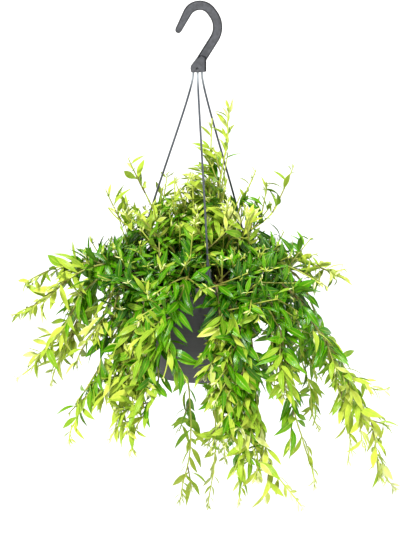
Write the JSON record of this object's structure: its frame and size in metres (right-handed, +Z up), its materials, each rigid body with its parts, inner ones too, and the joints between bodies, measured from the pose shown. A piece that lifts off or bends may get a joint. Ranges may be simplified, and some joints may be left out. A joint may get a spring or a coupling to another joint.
{
  "type": "hanging potted plant",
  "caption": "Trailing houseplant with glossy lance-shaped leaves on arching shoots, in a tapered plastic pot hung by strands from a moulded hook.",
  "frame": {"origin": "inside top of the hook's crown, the point that bears on the rod or ceiling hook it hangs from", "axes": "+Z up along the height of the plant, +X to the right as seen from the front, the hook's plane is XZ and the front faces -Y"},
  "size_m": [0.4527, 0.2964, 0.6465],
  "materials": {
    "pot": "matte mid-dark grey moulded plastic with faint rings",
    "soil": "dark brown moist potting mix with bark and pale specks",
    "hook": "satin grey moulded plastic",
    "strand": "satin blue-grey moulded plastic",
    "foliage": "glossy fresh green leaves, paler and yellower towards the tips, on olive stems"
  },
  "bodies": {
    "root": {"pot": "pot", "soil": "soil", "hanger_hook": "hook", "strand_front": "strand", "strand_right": "strand", "strand_left": "strand", "shoot_01": "foliage", "shoot_02": "foliage", "shoot_03": "foliage", "shoot_04": "foliage", "shoot_05": "foliage", "shoot_06": "foliage", "shoot_07": "foliage", "shoot_08": "foliage", "shoot_09": "foliage", "shoot_10": "foliage", "shoot_11": "foliage", "shoot_12": "foliage", "shoot_13": "foliage", "shoot_14": "foliage", "shoot_15": "foliage", "shoot_16": "foliage", "shoot_17": "foliage", "shoot_18": "foliage", "shoot_19": "foliage", "shoot_20": "foliage", "shoot_21": "foliage", "shoot_22": "foliage", "shoot_23": "foliage", "shoot_24": "foliage", "shoot_25": "foliage", "shoot_26": "foliage", "shoot_27": "foliage", "shoot_28": "foliage", "shoot_29": "foliage", "shoot_30": "foliage", "shoot_31": "foliage", "shoot_32": "foliage", "shoot_33": "foliage", "shoot_34": "foliage", "shoot_35": "foliage", "shoot_36": "foliage", "shoot_37": "foliage", "shoot_38": "foliage", "shoot_39": "foliage", "shoot_40": "foliage", "shoot_41": "foliage", "shoot_42": "foliage", "shoot_43": "foliage", "shoot_44": "foliage", "shoot_45": "foliage", "shoot_46": "foliage", "shoot_47": "foliage", "shoot_48": "foliage", "shoot_49": "foliage", "shoot_50": "foliage", "shoot_51": "foliage", "shoot_52": "foliage", "shoot_53": "foliage"}
  },
  "joints": []
}
